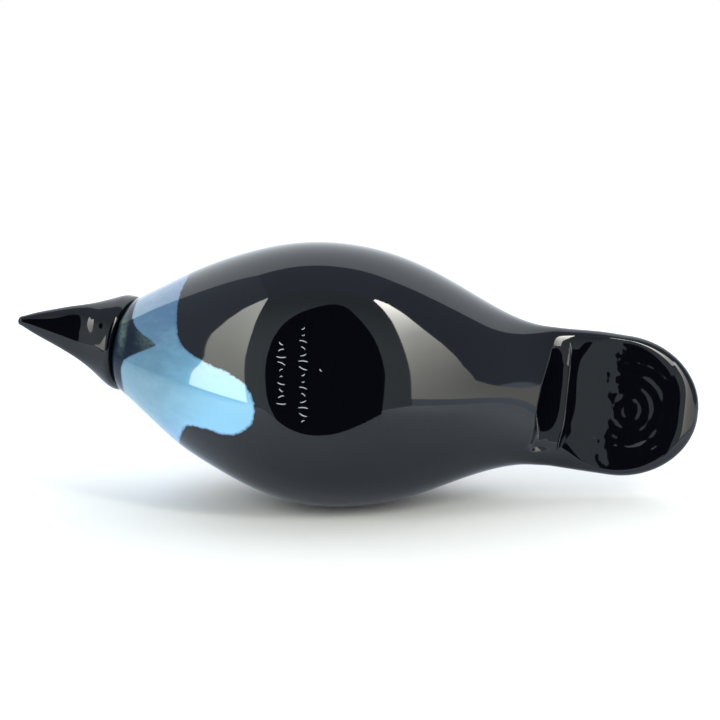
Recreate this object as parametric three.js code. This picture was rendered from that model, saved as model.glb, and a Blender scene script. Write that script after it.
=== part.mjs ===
// A bird of blown glass: a plump body with a flattened base and a pressed tail, and a drawn
// head with its beak, joined hot to the neck. Millimetres, +Z up. The origin is the middle of
// the flattened base, the beak points to -X, the tail to +X, and the bird's left side is -Y.

import * as THREE from 'three';

// Driving dimensions of the body
const HALF_WIDTH = 45;
const NECK_RADIUS = 16.5;
const NECK_LEAN = 18;
const NECK_TURN = 4.8;
const NECK_LIP = 1.2;
const BASE_BLEND = 0.5;

// Ribs of the body, from the neck to the tail: the place along the bird, the height of the
// widest line, the half width, the depth below and above that line, the sideways shift, the
// lean and turn of the rib's plane in degrees, and how square its outline is (2 is an ellipse)
const RIBS = [
  { x: -68.9, height: 49.0, half: NECK_RADIUS, down: NECK_RADIUS, up: NECK_RADIUS, shift: -2.0,
    lean: NECK_LEAN, turn: NECK_TURN, square: 2.0 },
  { x: -60, height: 46.2, half: 22.4, down: 21.8, up: 24.0, shift: -1.5,
    lean: 14, turn: 2.5, square: 2.05 },
  { x: -48, height: 41.6, half: 30.3, down: 25.9, up: 32.8, shift: -0.7, lean: 9, turn: 1, square: 2.1 },
  { x: -34, height: 35.6, half: 37.0, down: 28.6, up: 42.4, shift: -0.4, lean: 4, turn: 0, square: 2.2 },
  { x: -18, height: 31.0, half: 42.6, down: 31.5, up: 49.4, shift: -0.1, lean: 1, turn: 0, square: 2.2 },
  { x: 2, height: 29.6, half: HALF_WIDTH, down: 32.0, up: 51.4, shift: 0, lean: 0, turn: 0, square: 2.2 },
  { x: 20, height: 30.9, half: 42.8, down: 29.9, up: 48.0, shift: -0.2, lean: 0, turn: 0, square: 2.2 },
  { x: 36, height: 33.6, half: 37.7, down: 26.2, up: 39.9, shift: -0.3, lean: 0, turn: 0, square: 2.2 },
  { x: 50, height: 37.0, half: 31.4, down: 21.7, up: 29.8, shift: -0.7, lean: 0, turn: 0, square: 2.3 },
  { x: 62, height: 40.3, half: 26.6, down: 15.6, up: 19.4, shift: -0.9, lean: 0, turn: 0, square: 2.6 },
  { x: 72, height: 42.6, half: 24.4, down: 9.6, up: 12.4, shift: -1.1, lean: 0, turn: 0, square: 3.1 },
  { x: 76, height: 43.35, half: 24.2, down: 7.65, up: 10.4, shift: -1.2, lean: 0, turn: 0, square: 3.35 },
  { x: 80, height: 44.0, half: 24.1, down: 6.9, up: 8.8, shift: -1.3, lean: 0, turn: 0, square: 3.6 },
  { x: 84, height: 44.4, half: 24.2, down: 6.45, up: 7.8, shift: -1.3, lean: 0, turn: 0, square: 3.75 },
  { x: 92, height: 44.9, half: 24.5, down: 6.7, up: 6.8, shift: -1.3, lean: 0, turn: 0, square: 4.0 },
  { x: 102, height: 45.4, half: 24.5, down: 6.5, up: 6.3, shift: -1.0, lean: 0, turn: 0, square: 4.0 },
];

// Driving dimensions of the tail: its round end, the round outline, wall and depth of the press
// in its top, and the share of the rim, as the sine of the angle round it, that stays plain
const TAIL_TIP = 130;
const TAIL_EDGE_RADIUS = 4.5;
const TAIL_EDGE_LENGTH = 11;
const TOP_PRESS = { x: 104, y: -1, radius: 19.8, front: 85.9, wall: 2.2, depth: 0.8 };
const EDGE_LEFT_PLAIN = 0.15;

// The pinched hollow under the tail's root: its front and back edges, as places across the bird
// against places along it, the slope of its floor in degrees, and the width of its front step
const HOLLOW_FRONT = [[-18.9, 76.7], [-13.4, 75.1], [-3.8, 73.4], [6, 72.8], [16, 71.6]];
const HOLLOW_BACK = [[-18.9, 77.2], [-15.6, 81.1], [-7, 81.8], [3, 81.8], [12, 79.2], [16, 75.8]];
const HOLLOW_SLOPE = 1;
const HOLLOW_STEP = 1.2;

// The crest behind the hollow, and the face pressed up behind it: places along the bird against
// the face's height there
const CREST = 82.6;
const FACE_STEP = 0.8;
const FACE_HEIGHTS = [[82, 38.3], [86.4, 38.4], [94, 39.6], [104, 40.6], [112, 41.0], [126, 41.4]];
const FACE_BLEND = 0.3;

// Ribs of the head, from the beak's tip to the seam, where the last leaves a gap of 0.3 to the
// neck; the last few make the round shoulder at the seam, and the beak's end is round past the first
const HEAD_RIBS = [
  { x: -105.8, height: 33.7, half: 1.7, down: 1.8, up: 2.0, shift: -5.6, lean: 0, square: 2.0 },
  { x: -102.2, height: 35.1, half: 3.4, down: 2.6, up: 3.6, shift: -5.5, lean: 0, square: 2.0 },
  { x: -97.1, height: 36.6, half: 5.4, down: 3.4, up: 6.0, shift: -5.3, lean: 0, square: 2.1 },
  { x: -91.2, height: 38.2, half: 7.6, down: 4.2, up: 9.6, shift: -5.0, lean: 1, square: 2.1 },
  { x: -85.3, height: 40.6, half: 9.9, down: 5.7, up: 14.0, shift: -4.4, lean: 4, square: 2.1 },
  { x: -80.4, height: 43.6, half: 12.4, down: 9.1, up: 16.8, shift: -3.8, lean: 8, square: 2.05 },
  { x: -76.4, height: 46.3, half: 14.8, down: 12.6, up: 17.2, shift: -3.2, lean: 12, square: 2.0 },
  { x: -72.8, height: 48.3, half: 16.5, down: 15.5, up: 17.0, shift: -2.6, lean: 16, square: 2.0 },
  { x: -70.6, height: 49.1, half: 16.7, down: 16.7, up: 16.7, shift: -2.2, lean: 17.5, square: 2.0 },
  { x: -69.6, height: 49.15, half: 16.2, down: 16.2, up: 16.2, shift: -2.1, lean: NECK_LEAN, square: 2.0 },
  { x: -69.2, height: 49.1, half: 15.6, down: 15.6, up: 15.6, shift: -2.0, lean: NECK_LEAN, square: 2.0 },
].map((rib) => ({ ...rib, turn: NECK_TURN }));
const SHOULDER_RIBS = 4;
const BEAK_TIP = -107.25;

// How finely the solids are faceted
const BODY_SIDES = 60;
const BODY_RINGS = 34;
const ROOT_START = 70;
const ROOT_RINGS = 22;
const TAIL_RINGS = 11;
const HEAD_SIDES = 40;
const HEAD_RINGS = 14;
const TIP_RINGS = 3;

const GLASS = { color: 0x0b0c10, roughness: 0.04, metalness: 0 };

const radians = THREE.MathUtils.degToRad;
const smooth = THREE.MathUtils.smoothstep;

// Natural cubic spline through values at rising stations, returned as a function of the station
function spline(stations, values) {
  const count = stations.length;
  const bend = new Array(count).fill(0);
  const share = new Array(count).fill(0);
  for (let i = 1; i < count - 1; i++) {
    const before = stations[i] - stations[i - 1];
    const after = stations[i + 1] - stations[i];
    const ratio = before / (before + after);
    const pivot = ratio * share[i - 1] + 2;
    const slopeChange = (values[i + 1] - values[i]) / after - (values[i] - values[i - 1]) / before;
    share[i] = (ratio - 1) / pivot;
    bend[i] = ((6 * slopeChange) / (before + after) - ratio * bend[i - 1]) / pivot;
  }
  for (let i = count - 2; i >= 0; i--) {
    bend[i] = share[i] * bend[i + 1] + bend[i];
  }
  return (station) => {
    let i = 0;
    while (i < count - 2 && station > stations[i + 1]) i++;
    const width = stations[i + 1] - stations[i];
    const a = (stations[i + 1] - station) / width;
    const b = 1 - a;
    const curve = ((a ** 3 - a) * bend[i] + (b ** 3 - b) * bend[i + 1]) * (width ** 2) / 6;
    return a * values[i] + b * values[i + 1] + curve;
  };
}

// A curve along the bird for each measure of the ribs
function curvesOf(ribs) {
  const stations = ribs.map((rib) => rib.x);
  const curves = {};
  for (const key of Object.keys(ribs[0])) {
    curves[key] = spline(stations, ribs.map((rib) => rib[key]));
  }
  return curves;
}

const bodyCurves = curvesOf(RIBS);
const headCurves = curvesOf(HEAD_RIBS);

// The measures that the curves give for one place along the bird
function measuresAt(curves, x) {
  const rib = {};
  for (const key of Object.keys(curves)) {
    rib[key] = curves[key](x);
  }
  return rib;
}

// One rib of the body; past the last of them the tail thins to its round edge, and its plan
// ends in half an ellipse
function ribAt(x) {
  const last = RIBS[RIBS.length - 1];
  const rib = measuresAt(bodyCurves, Math.min(x, last.x));
  rib.x = x;
  if (x > last.x) {
    const out = Math.min((x - last.x) / (TAIL_TIP - last.x), 1);
    const edgeStart = TAIL_TIP - TAIL_EDGE_LENGTH;
    const taper = Math.min((x - last.x) / (edgeStart - last.x), 1);
    const pastEdge = Math.min(Math.max(x - edgeStart, 0) / TAIL_EDGE_LENGTH, 1);
    const thickness = THREE.MathUtils.lerp(1, TAIL_EDGE_RADIUS / last.down, taper);
    rib.half *= Math.sqrt(1 - out ** 2);
    rib.down *= thickness * Math.sqrt(1 - pastEdge ** 2);
    rib.up *= thickness * Math.sqrt(1 - pastEdge ** 2);
  }
  return rib;
}

// One rib of the head; past the first of them the beak ends in a small round tip
function headRibAt(x) {
  const first = HEAD_RIBS[0];
  const rib = measuresAt(headCurves, Math.max(x, first.x));
  rib.x = x;
  const past = Math.max(first.x - x, 0) / (first.x - BEAK_TIP);
  for (const key of ['half', 'down', 'up']) {
    rib[key] *= Math.sqrt(1 - past ** 2);
  }
  return rib;
}

// The larger of two values, with a soft change from one to the other
function softMax(a, b, blend) {
  const near = Math.max(blend - Math.abs(a - b), 0) / blend;
  return Math.max(a, b) + (near * near * blend) / 4;
}

// A curve through pairs of a place and a value
function curveThrough(pairs) {
  return spline(pairs.map((pair) => pair[0]), pairs.map((pair) => pair[1]));
}

const hollowFront = curveThrough(HOLLOW_FRONT);
const hollowBack = curveThrough(HOLLOW_BACK);
const faceHeight = curveThrough(FACE_HEIGHTS);

// The height of the uncarved underside above a place, where no rib leans
function plainUnderside(x, y) {
  const rib = ribAt(x);
  const off = Math.min(Math.abs(y - rib.shift) / rib.half, 1);
  return rib.height - rib.down * (1 - off ** rib.square) ** (1 / rib.square);
}

// How far the pinched hollow goes up into the tail's root: a nearly level floor behind a step
function hollowDepth(x, y) {
  const left = HOLLOW_FRONT[0][0];
  const right = HOLLOW_FRONT[HOLLOW_FRONT.length - 1][0];
  const back = hollowBack(y);
  if (y < left || y > right || x > back) return 0;
  const floor = plainUnderside(back, y) - (back - x) * Math.tan(radians(HOLLOW_SLOPE));
  const depth = Math.max(floor - plainUnderside(x, y), 0);
  return depth * smooth(x, hollowFront(y) - HOLLOW_STEP / 2, hollowFront(y) + HOLLOW_STEP / 2);
}

// The hollow and the pressed face below the tail, and the plainer pressing of its top
function carve(point, side) {
  const { x, y } = point;
  if (side < 0) {
    const pressed = softMax(point.z, faceHeight(x), FACE_BLEND) - point.z;
    point.z += hollowDepth(x, y) + pressed * smooth(x, CREST, CREST + FACE_STEP);
  } else {
    const fromRound = Math.hypot(Math.max(x - TOP_PRESS.x, 0), y - TOP_PRESS.y) - TOP_PRESS.radius;
    const inside = -Math.max(fromRound, TOP_PRESS.front - x);
    point.z -= smooth(inside, 0, TOP_PRESS.wall) * TOP_PRESS.depth;
  }
}

// A point on a rib: angle 0 is the right flank, 90 degrees the back, -90 the keel
function pointOn(rib, angle, scale = 1) {
  const across = Math.cos(angle);
  const upward = Math.sin(angle);
  const square = (Math.abs(across) ** rib.square + Math.abs(upward) ** rib.square) ** (-1 / rib.square);
  const u = rib.half * square * across * scale;
  const v = (upward < 0 ? rib.down : rib.up) * square * upward * scale;
  const lean = radians(rib.lean);
  const turn = radians(rib.turn);
  return new THREE.Vector3(
    rib.x - u * Math.sin(turn) + v * Math.sin(lean) * Math.cos(turn),
    rib.shift + u * Math.cos(turn) + v * Math.sin(lean) * Math.sin(turn),
    rib.height + v * Math.cos(lean),
  );
}

// A point on the body's skin, carved and flattened at the base
function skinPoint(rib, angle, scale) {
  const point = pointOn(rib, angle, scale);
  const upward = Math.sin(angle);
  if (Math.abs(upward) > EDGE_LEFT_PLAIN) carve(point, Math.sign(upward));
  point.z = softMax(point.z, 0, BASE_BLEND);
  return point;
}

// A closed skin over rings of equal count, with a middle point at each end
function skinOver(rings, start, end) {
  const sides = rings[0].length;
  const points = [...rings.flat(), start, end];
  const startIndex = points.length - 2;
  const endIndex = points.length - 1;
  const faces = [];
  const at = (ring, side) => ring * sides + (side % sides);
  for (let side = 0; side < sides; side++) {
    faces.push(startIndex, at(0, side + 1), at(0, side));
    for (let ring = 0; ring < rings.length - 1; ring++) {
      faces.push(at(ring, side), at(ring, side + 1), at(ring + 1, side));
      faces.push(at(ring, side + 1), at(ring + 1, side + 1), at(ring + 1, side));
    }
    faces.push(endIndex, at(rings.length - 1, side), at(rings.length - 1, side + 1));
  }
  const geometry = new THREE.BufferGeometry();
  const numbers = points.flatMap((point) => point.toArray());
  geometry.setAttribute('position', new THREE.Float32BufferAttribute(numbers, 3));
  geometry.setIndex(faces);
  geometry.computeVertexNormals();
  return geometry;
}

function makeBody() {
  const neck = RIBS[0].x;
  const tailStart = RIBS[RIBS.length - 1].x;
  const ringAt = (x, scale) => {
    const rib = ribAt(x);
    const ring = [];
    for (let side = 0; side < BODY_SIDES; side++) {
      ring.push(skinPoint(rib, (side / BODY_SIDES) * 2 * Math.PI, scale));
    }
    return ring;
  };
  const lipScale = 1 - NECK_LIP / 2 / NECK_RADIUS;
  const rings = [ringAt(neck, lipScale)];
  const lipEnd = neck + NECK_LIP / 2;
  for (let i = 0; i < BODY_RINGS; i++) {
    rings.push(ringAt(lipEnd + ((ROOT_START - lipEnd) * i) / BODY_RINGS, 1));
  }
  for (let i = 0; i <= ROOT_RINGS; i++) {
    rings.push(ringAt(ROOT_START + ((tailStart - ROOT_START) * i) / ROOT_RINGS, 1));
  }
  for (let i = 1; i < TAIL_RINGS; i++) {
    const swing = (i / TAIL_RINGS) * (Math.PI / 2);
    rings.push(ringAt(tailStart + (TAIL_TIP - tailStart) * Math.sin(swing), 1));
  }
  const first = ribAt(neck);
  const tip = ribAt(TAIL_TIP);
  const start = new THREE.Vector3(first.x, first.shift, first.height);
  const end = new THREE.Vector3(TAIL_TIP, tip.shift, tip.height);
  return new THREE.Mesh(skinOver(rings, start, end), new THREE.MeshStandardMaterial(GLASS));
}

function makeHead() {
  const tipFrom = HEAD_RIBS[0].x;
  const shoulder = HEAD_RIBS.slice(-SHOULDER_RIBS).map((rib) => rib.x);
  const stations = [];
  for (let i = 1; i < TIP_RINGS; i++) {
    const swing = (1 - i / TIP_RINGS) * (Math.PI / 2);
    stations.push(tipFrom + (BEAK_TIP - tipFrom) * Math.sin(swing));
  }
  for (let i = 0; i < HEAD_RINGS; i++) {
    stations.push(THREE.MathUtils.lerp(tipFrom, shoulder[0], i / HEAD_RINGS));
  }
  const rings = [...stations, ...shoulder].map((x) => {
    const rib = headRibAt(x);
    const ring = [];
    for (let side = 0; side < HEAD_SIDES; side++) {
      ring.push(pointOn(rib, (side / HEAD_SIDES) * 2 * Math.PI));
    }
    return ring;
  });
  const tip = headRibAt(BEAK_TIP);
  const seam = HEAD_RIBS[HEAD_RIBS.length - 1];
  const start = new THREE.Vector3(BEAK_TIP, tip.shift, tip.height);
  const end = new THREE.Vector3(seam.x, seam.shift, seam.height);
  return new THREE.Mesh(skinOver(rings, start, end), new THREE.MeshStandardMaterial(GLASS));
}

const bird = new THREE.Group();

const body = makeBody();
body.name = 'body';
bird.add(body);

const head = makeHead();
head.name = 'head';
bird.add(head);

export default bird;
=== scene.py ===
"""A bird of blown black glass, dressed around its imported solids.

The bird stands on its flattened base: +Z is up, the beak points to -X, and its left side is -Y.
Sizes are in millimetres, and MM turns them into the scene's metres; only the materials' own
lengths are in metres. The camera looks up at the underside. One pale floor lies beside the bird,
where that camera sees it, and one lies under the base, for views from above.
"""

import math

import bmesh
import bpy
import numpy as np
from mathutils import Matrix, Vector
from mathutils.bvhtree import BVHTree


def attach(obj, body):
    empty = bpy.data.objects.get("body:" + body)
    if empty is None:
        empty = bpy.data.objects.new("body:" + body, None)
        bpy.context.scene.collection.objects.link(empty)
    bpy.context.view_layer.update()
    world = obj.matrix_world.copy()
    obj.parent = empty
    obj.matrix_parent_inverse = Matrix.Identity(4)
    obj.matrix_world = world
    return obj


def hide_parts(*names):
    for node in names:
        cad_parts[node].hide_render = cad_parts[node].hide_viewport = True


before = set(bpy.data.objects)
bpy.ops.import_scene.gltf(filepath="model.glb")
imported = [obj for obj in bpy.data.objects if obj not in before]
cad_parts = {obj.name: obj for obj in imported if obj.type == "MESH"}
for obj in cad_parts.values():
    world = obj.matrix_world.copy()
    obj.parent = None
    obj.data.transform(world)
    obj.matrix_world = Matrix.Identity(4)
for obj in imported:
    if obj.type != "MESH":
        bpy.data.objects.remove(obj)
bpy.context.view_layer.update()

MM = 0.001

NECK_RADIUS = 16.5
# Ribs of the body from the neck to the tail: the place along the bird, the height of the widest
# line, the half width, the depth below and above that line, the sideways shift, the lean and
# turn of the rib's plane in degrees, and how square its outline is (2 is an ellipse)
RIBS = (
    (-68.9, 49.0, NECK_RADIUS, NECK_RADIUS, NECK_RADIUS, -2.0, 18, 4.8, 2.0),
    (-60, 46.2, 22.4, 21.8, 24.0, -1.5, 14, 2.5, 2.05),
    (-48, 41.6, 30.3, 25.9, 32.8, -0.7, 9, 1, 2.1),
    (-34, 35.6, 37.0, 28.6, 42.4, -0.4, 4, 0, 2.2),
    (-18, 31.0, 42.6, 31.5, 49.4, -0.1, 1, 0, 2.2),
    (2, 29.6, 45.0, 32.0, 51.4, 0, 0, 0, 2.2),
    (20, 30.9, 42.8, 29.9, 48.0, -0.2, 0, 0, 2.2),
    (36, 33.6, 37.7, 26.2, 39.9, -0.3, 0, 0, 2.2),
    (50, 37.0, 31.4, 21.7, 29.8, -0.7, 0, 0, 2.3),
    (62, 40.3, 26.6, 15.6, 19.4, -0.9, 0, 0, 2.6),
    (72, 42.6, 24.4, 9.6, 12.4, -1.1, 0, 0, 3.1),
    (76, 43.35, 24.2, 7.65, 10.4, -1.2, 0, 0, 3.35),
    (80, 44.0, 24.1, 6.9, 8.8, -1.3, 0, 0, 3.6),
    (84, 44.4, 24.2, 6.45, 7.8, -1.3, 0, 0, 3.75),
    (92, 44.9, 24.5, 6.7, 6.8, -1.3, 0, 0, 4.0),
    (102, 45.4, 24.5, 6.5, 6.3, -1.0, 0, 0, 4.0),
)
RIB_KEYS = ("x", "height", "half", "down", "up", "shift", "lean", "turn", "square")
# The tail's tip and its rounded edge, the lip at the neck, and how softly the flat base begins
TAIL_TIP = 130
TAIL_EDGE_RADIUS = 4.5
TAIL_EDGE_LENGTH = 11.0
NECK_LIP = 1.2
BASE_BLEND = 0.5

# The tail's underside, each edge as its place along the bird against the place across it: the
# crisp front edge of the pinched hollow, the soft back edge, the crest behind it, and the line
# where the pressed face turns up towards the tail's tip
HOLLOW_FRONT = (
    (-18.9, 76.7), (-18.4, 75.9), (-17.8, 75.6), (-13.4, 75.1), (-9.2, 74.4), (-3.8, 73.4),
    (2.8, 72.8), (9.7, 72.8), (12.8, 72.5), (15.2, 71.7), (17.7, 70.6), (19, 70.0),
)
HOLLOW_BACK = (
    (-18.9, 76.9), (-18.8, 78.2), (-18, 79.2), (-16.7, 80.4), (-15.6, 81.1), (-12, 81.6), (-7, 81.8),
    (-2.2, 81.8), (3, 81.8), (7.1, 81.2), (12, 79.2), (15.4, 76.5), (18.7, 72.2), (19, 71.5),
)
CREST = (
    (-23, 81.0), (-21.7, 81.6), (-15.7, 82.6), (-6.5, 82.8), (2.3, 82.9), (10.8, 82.6), (15.5, 82.1),
    (18.5, 82.1), (21, 82.1),
)
FACE_FRONT = (
    (-23, 87.8), (-21, 87.2), (-16.6, 86.6), (-11.8, 86.0), (-8.6, 85.9), (-2.8, 86.3), (1, 86.5),
    (4.7, 86.1), (9.1, 85.0), (12, 83.8), (15, 83.0), (20, 82.8),
)
# The hollow's floor rises towards the tail by these slopes, in degrees, at places across the bird,
# and turns up steeper over HOLLOW_TURN at its back edge. Also at places across, how wide the step
# at its front is, and how steep the flank from its back edge to the crest is
HOLLOW_SLOPES = ((-19, 1), (4, 1), (9, 4), (13, 12), (17, 22))
HOLLOW_BACK_SLOPE = 11.0
HOLLOW_TURN = 1.8
HOLLOW_WALL = ((-19, 0.35), (5, 0.4), (9, 1.0), (13, 2.5), (19, 4.0))
HOLLOW_LEFT_END, HOLLOW_RIGHT_END = 1.2, 3.0
FLANK_SLOPES = ((-23, 26), (-17, 26), (-12, 14), (4, 14), (9, 11), (19, 10))
CREST_PRESS = 0.1
# The pressed face: its height where it turns up, and how steeply it rises towards the tip, in
# degrees, at places along the bird where the face turns at FACE_TURNS; the strip in front of that
# line; the lift of the face's right corner; and the width of the wall behind the crest
FACE_HEIGHT = 38.4
FACE_TURNS = 86.4
FACE_SLOPES = ((80, 9), (94, 9), (104, 2.8), (110, 2.0), (126, 1.8))
FACE_STEPS = 600
FACE_ACROSS = (-21, 19)
STRIP_SLOPE = 1.0
CORNER_LIFT = 0.35
CORNER_ACROSS = (9, 15)
FACE_WALL = 0.35
FACE_BLEND = 0.25
# The plainer pressing of the tail's top, and the part of the tail's edge that neither one reaches
FACE_CENTRE = (104, -1)
FACE_RADIUS = 21.0
FACE_DEPTH_ABOVE = 0.8
FACE_WALL_ABOVE = 4.0
EDGE_LEFT_PLAIN = 0.15

# How finely the body is laid out. The last share of the tail is closed by rings that lie closer
# and closer. On the underside of the tail's root, rings bend from even places to follow the lines
# that the hollow, the crest and the face leave there, with more rings beside each line
SIDES = 288
STEPS_PER_SIDE = 4
WELD = 1e-7
BODY_STEP = 1.5
TAIL_FROM = 66
TAIL_STEP = 0.42
LIP_RINGS = 6
END_RINGS = 26
END_SHARE = 0.25
BENT_STATIONS = (66.0, 74.2, 82.3, 86.4, 97.0)
RING_OFFSETS = (-0.25, -0.1, 0.0, 0.08, 0.16, 0.24, 0.34, 0.46)
RINGS_NO_CLOSER = 0.08
BEND_FROM, BEND_FULL = 0.15, 0.45

# The ripples of the pressed face: rings round a centre, a little out of round and uneven, and
# waves that wander, each with its length, how much it tilts the face in degrees, its direction in
# degrees and its phase. The waves calm down where the rings are
RIPPLE_CENTRE = (105.2, 0.6)
RINGS_APART = 4.2
FIRST_RING = 3.9
RING_TILT = 6.6
RING_WOBBLE = 0.05
RING_UNEVEN = 0.45
RINGS_FADE = 19.0
RINGS_FROM = (97, 104)
RING_EYE = 3.0
RING_PHASE = 0.5
RING_TWIST = 0.4
WAVES = (
    (7.1, 0.5, 20, 0.3), (8.9, 0.6, 75, 1.9), (6.1, 0.6, 130, 4.1), (4.6, 0.6, 160, 2.6),
    (3.6, 0.6, 50, 5.2), (2.4, 0.5, 110, 0.8), (1.7, 0.4, 5, 2.2),
)
WAVE_WANDER = 11.0
CALM = 0.25
RIPPLES_FROM_EDGE = 0.8

# Ribs of the head from the beak's tip to the seam at the neck, in the same order as the body's
HEAD_RIBS = (
    (-105.8, 33.7, 1.7, 1.8, 2.0, -5.6, 0, 4.8, 2.0),
    (-102.2, 35.1, 3.4, 2.6, 3.6, -5.5, 0, 4.8, 2.0),
    (-97.1, 36.6, 5.4, 3.4, 6.0, -5.3, 0, 4.8, 2.1),
    (-91.2, 38.2, 7.6, 4.2, 9.6, -5.0, 1, 4.8, 2.1),
    (-85.3, 40.6, 9.9, 5.7, 14.0, -4.4, 4, 4.8, 2.1),
    (-80.4, 43.6, 12.4, 9.1, 16.8, -3.8, 8, 4.8, 2.05),
    (-76.4, 46.3, 14.8, 12.6, 17.2, -3.2, 12, 4.8, 2.0),
    (-72.8, 48.3, 16.5, 15.5, 17.0, -2.6, 16, 4.8, 2.0),
    (-70.6, 49.1, 16.7, 16.7, 16.7, -2.2, 17.5, 4.8, 2.0),
    (-69.6, 49.15, 16.2, 16.2, 16.2, -2.1, 18, 4.8, 2.0),
    (-69.2, 49.1, 15.6, 15.6, 15.6, -2.0, 18, 4.8, 2.0),
)
BEAK_TIP = -107.25
HEAD_LIP = 0.3
# How finely the head is laid out, with closer rings over the shoulder that its last ribs form
HEAD_SIDES = 160
HEAD_STEP = 0.35
SHOULDER_STEP = 0.12
SHOULDER_RIBS = 4
TIP_RINGS = 8
# The lump where the throat was pinched: its place, its size along and across the bird, how proud
# it stands, and how it fades out round the head's sides
LUMP_PLACE = (-80.8, -8.0)
LUMP_SIZE = (2.9, 4.0)
LUMP_PROUD = 1.02
LUMP_UNDER = (0.1, 0.5)


def spline(stations, values):
    """A natural cubic curve through values at rising stations, as a function of the station."""
    x = np.array(stations, float)
    y = np.array(values, float)
    step = np.diff(x)
    size = len(x)
    rows = np.eye(size)
    pull = np.zeros(size)
    for i in range(1, size - 1):
        rows[i, i - 1:i + 2] = step[i - 1], 2 * (step[i - 1] + step[i]), step[i]
        pull[i] = 6 * ((y[i + 1] - y[i]) / step[i] - (y[i] - y[i - 1]) / step[i - 1])
    bend = np.linalg.solve(rows, pull)

    def curve(at):
        i = np.clip(np.searchsorted(x, at) - 1, 0, size - 2)
        b = (at - x[i]) / step[i]
        a = 1 - b
        bow = ((a ** 3 - a) * bend[i] + (b ** 3 - b) * bend[i + 1]) * step[i] ** 2 / 6
        return a * y[i] + b * y[i + 1] + bow

    return curve


def smooth(value, low=0.0, high=1.0):
    """0 below low, 1 above high, and a smooth rise between them."""
    t = np.clip((value - low) / (high - low), 0, 1)
    return t * t * (3 - 2 * t)


def soft_max(a, b, blend):
    """The larger of two values, with a soft change from one to the other."""
    near = np.maximum(blend - np.abs(a - b), 0) / blend
    return np.maximum(a, b) + near ** 2 * blend / 4


def curves_through(ribs):
    """A curve along the bird for each measure of the ribs."""
    stations = [rib[0] for rib in ribs]
    return {key: spline(stations, [rib[i] for rib in ribs]) for i, key in enumerate(RIB_KEYS)}


RIB_CURVES = curves_through(RIBS)
HEAD_CURVES = curves_through(HEAD_RIBS)
FACE_FRONT_AT = spline(*zip(*FACE_FRONT))
CREST_AT = spline(*zip(*CREST))


def line_at(line, y):
    """The place along the bird of a line that is given by points across the bird."""
    return np.interp(y, *zip(*line))


def ribs_at(stations):
    """The ribs at places along the bird; past the last rib the tail thins to its round edge."""
    last_x = RIBS[-1][0]
    rib = {key: curve(np.minimum(stations, last_x)) for key, curve in RIB_CURVES.items()}
    rib["x"] = stations
    edge_start = TAIL_TIP - TAIL_EDGE_LENGTH
    out = np.clip((stations - last_x) / (TAIL_TIP - last_x), 0, 1)
    taper = np.clip((stations - last_x) / (edge_start - last_x), 0, 1)
    past = np.clip((stations - edge_start) / TAIL_EDGE_LENGTH, 0, 1)
    last_down = RIBS[-1][RIB_KEYS.index("down")]
    thickness = (1 + (TAIL_EDGE_RADIUS / last_down - 1) * taper) * np.sqrt(1 - past ** 2)
    rib["half"] = rib["half"] * np.sqrt(1 - out ** 2)
    rib["down"] = rib["down"] * thickness
    rib["up"] = rib["up"] * thickness
    return rib


def head_ribs_at(stations):
    """The head's ribs at places along the bird, up to the small round end of the beak."""
    tip_from = HEAD_RIBS[0][0]
    inside = np.clip(stations, tip_from, HEAD_RIBS[-1][0])
    rib = {key: curve(inside) for key, curve in HEAD_CURVES.items()}
    rib["x"] = stations
    past = np.clip((tip_from - stations) / (tip_from - BEAK_TIP), 0, 1)
    for key in ("half", "down", "up"):
        rib[key] = rib[key] * np.sqrt(1 - past ** 2)
    return rib


def plain_underside(x, y):
    """The height of the uncarved underside above a place on the floor, where no rib leans."""
    rib = ribs_at(x)
    off = np.clip(np.abs(y - rib["shift"]) / rib["half"], 0, 1)
    return rib["height"] - rib["down"] * (1 - off ** rib["square"]) ** (1 / rib["square"])


def tan(degrees):
    return np.tan(np.radians(degrees))


def hollow(x, y):
    """How far the pinched hollow goes up into the tail's root. Its floor is nearly level and turns
    up to the crest behind it; at its front it ends in a crisp step, which grows soft to the right."""
    front, back, crest = line_at(HOLLOW_FRONT, y), line_at(HOLLOW_BACK, y), CREST_AT(y)
    plain = plain_underside(x, y)
    flank = tan(line_at(FLANK_SLOPES, y))
    behind = plain_underside(crest, y) + CREST_PRESS - flank * (crest - np.maximum(x, back))
    start = np.maximum(behind, plain_underside(np.maximum(x, back), y))
    inside = np.maximum(back - x, 0)
    level = tan(line_at(HOLLOW_SLOPES, y))
    turned = np.maximum(level, tan(HOLLOW_BACK_SLOPE))
    turn = HOLLOW_TURN * (1 - np.exp(-inside / HOLLOW_TURN))
    floor = start - level * inside - (turned - level) * turn
    step = smooth(x, front, front + line_at(HOLLOW_WALL, y))
    left, right = HOLLOW_FRONT[0][0], HOLLOW_BACK[-1][0]
    ends = smooth(y, left, left + HOLLOW_LEFT_END) * smooth(-y, -right, HOLLOW_RIGHT_END - right)
    return np.where(x < crest, np.maximum(floor - plain, 0) * step * ends, 0)


def face_profile():
    """The height of the pressed face along the bird, from its slopes."""
    x = np.linspace(FACE_SLOPES[0][0], TAIL_TIP, FACE_STEPS)
    slope = tan(np.interp(x, *zip(*FACE_SLOPES)))
    height = np.concatenate(([0], np.cumsum((slope[1:] + slope[:-1]) / 2 * np.diff(x))))
    return x, height - np.interp(FACE_TURNS, x, height) + FACE_HEIGHT


FACE_X, FACE_Z = face_profile()


def face_height(x, y):
    """The height of the pressed face without its ripples."""
    front = FACE_FRONT_AT(np.clip(y, *FACE_ACROSS))
    level = np.interp(np.maximum(x, front), FACE_X, FACE_Z)
    strip = tan(STRIP_SLOPE) * np.maximum(front - x, 0)
    return level - strip + CORNER_LIFT * smooth(y, *CORNER_ACROSS)


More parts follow.
